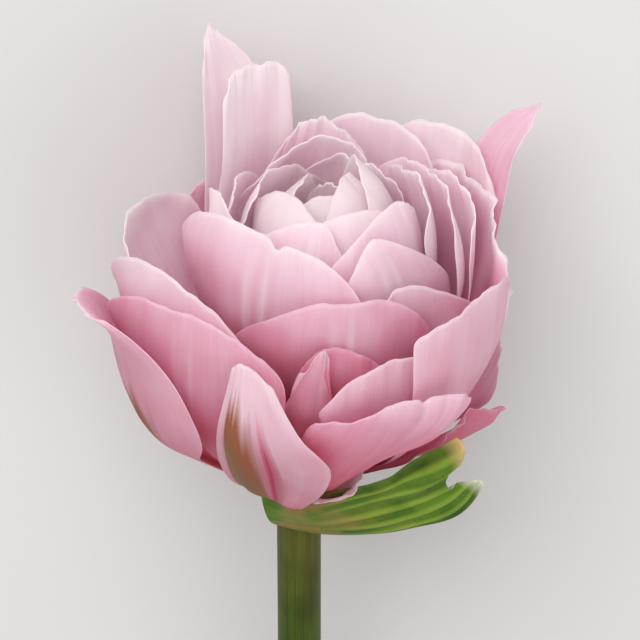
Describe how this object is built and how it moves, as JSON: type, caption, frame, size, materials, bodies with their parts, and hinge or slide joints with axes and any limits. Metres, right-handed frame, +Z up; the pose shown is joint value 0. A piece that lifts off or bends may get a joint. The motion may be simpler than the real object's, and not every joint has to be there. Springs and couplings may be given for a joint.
{
  "type": "double tulip",
  "caption": "Cut double tulip with densely layered pink petals, a green outer bract and a straight round stem, lying on its back.",
  "frame": {"origin": "middle of the bounding box, on the surface that the flower lies on", "axes": "+Y along the flower, from the cut end of the stem to the tips of the petals; +Z up, away from the surface; +X to the right of the bloom as the picture shows it"},
  "size_m": [0.0826, 0.2346, 0.0704],
  "materials": {
    "petal": "soft satin, pale pink with whiter margins, deeper pink towards the foot",
    "bract": "ribbed leaf green with a pale tip",
    "stem": "smooth waxy green"
  },
  "bodies": {
    "root": {"green_bract": "bract", "petal_back": "petal", "petal_back_left": "petal", "petal_back_left_spike": "petal", "petal_back_right": "petal", "petal_back_right_spike": "petal", "petal_bud_1": "petal", "petal_bud_2": "petal", "petal_bud_3": "petal", "petal_bud_4": "petal", "petal_bud_5": "petal", "petal_bud_6": "petal", "petal_bud_back": "petal", "petal_bud_back_left": "petal", "petal_bud_back_right": "petal", "petal_bud_cover": "petal", "petal_bud_front": "petal", "petal_bud_front_middle": "petal", "petal_bud_front_right": "petal", "petal_bud_left": "petal", "petal_bud_right": "petal", "petal_front_keel": "petal", "petal_front_middle": "petal", "petal_front_right_inner": "petal", "petal_front_sliver": "petal", "petal_inner_back": "petal", "petal_inner_front": "petal", "petal_inner_front_left": "petal", "petal_inner_front_right": "petal", "petal_inner_lobe": "petal", "petal_inner_right": "petal", "petal_inner_right_edge": "petal", "petal_left_cup": "petal", "petal_left_front": "petal", "petal_left_front_inner": "petal", "petal_left_spike": "petal", "petal_low_curl": "petal", "petal_low_front_right": "petal", "petal_low_right": "petal", "petal_low_right_back": "petal", "petal_right_front": "petal", "petal_right_wrap": "petal", "petal_under_left": "petal", "petal_under_right": "petal", "stem": "stem"}
  },
  "joints": []
}
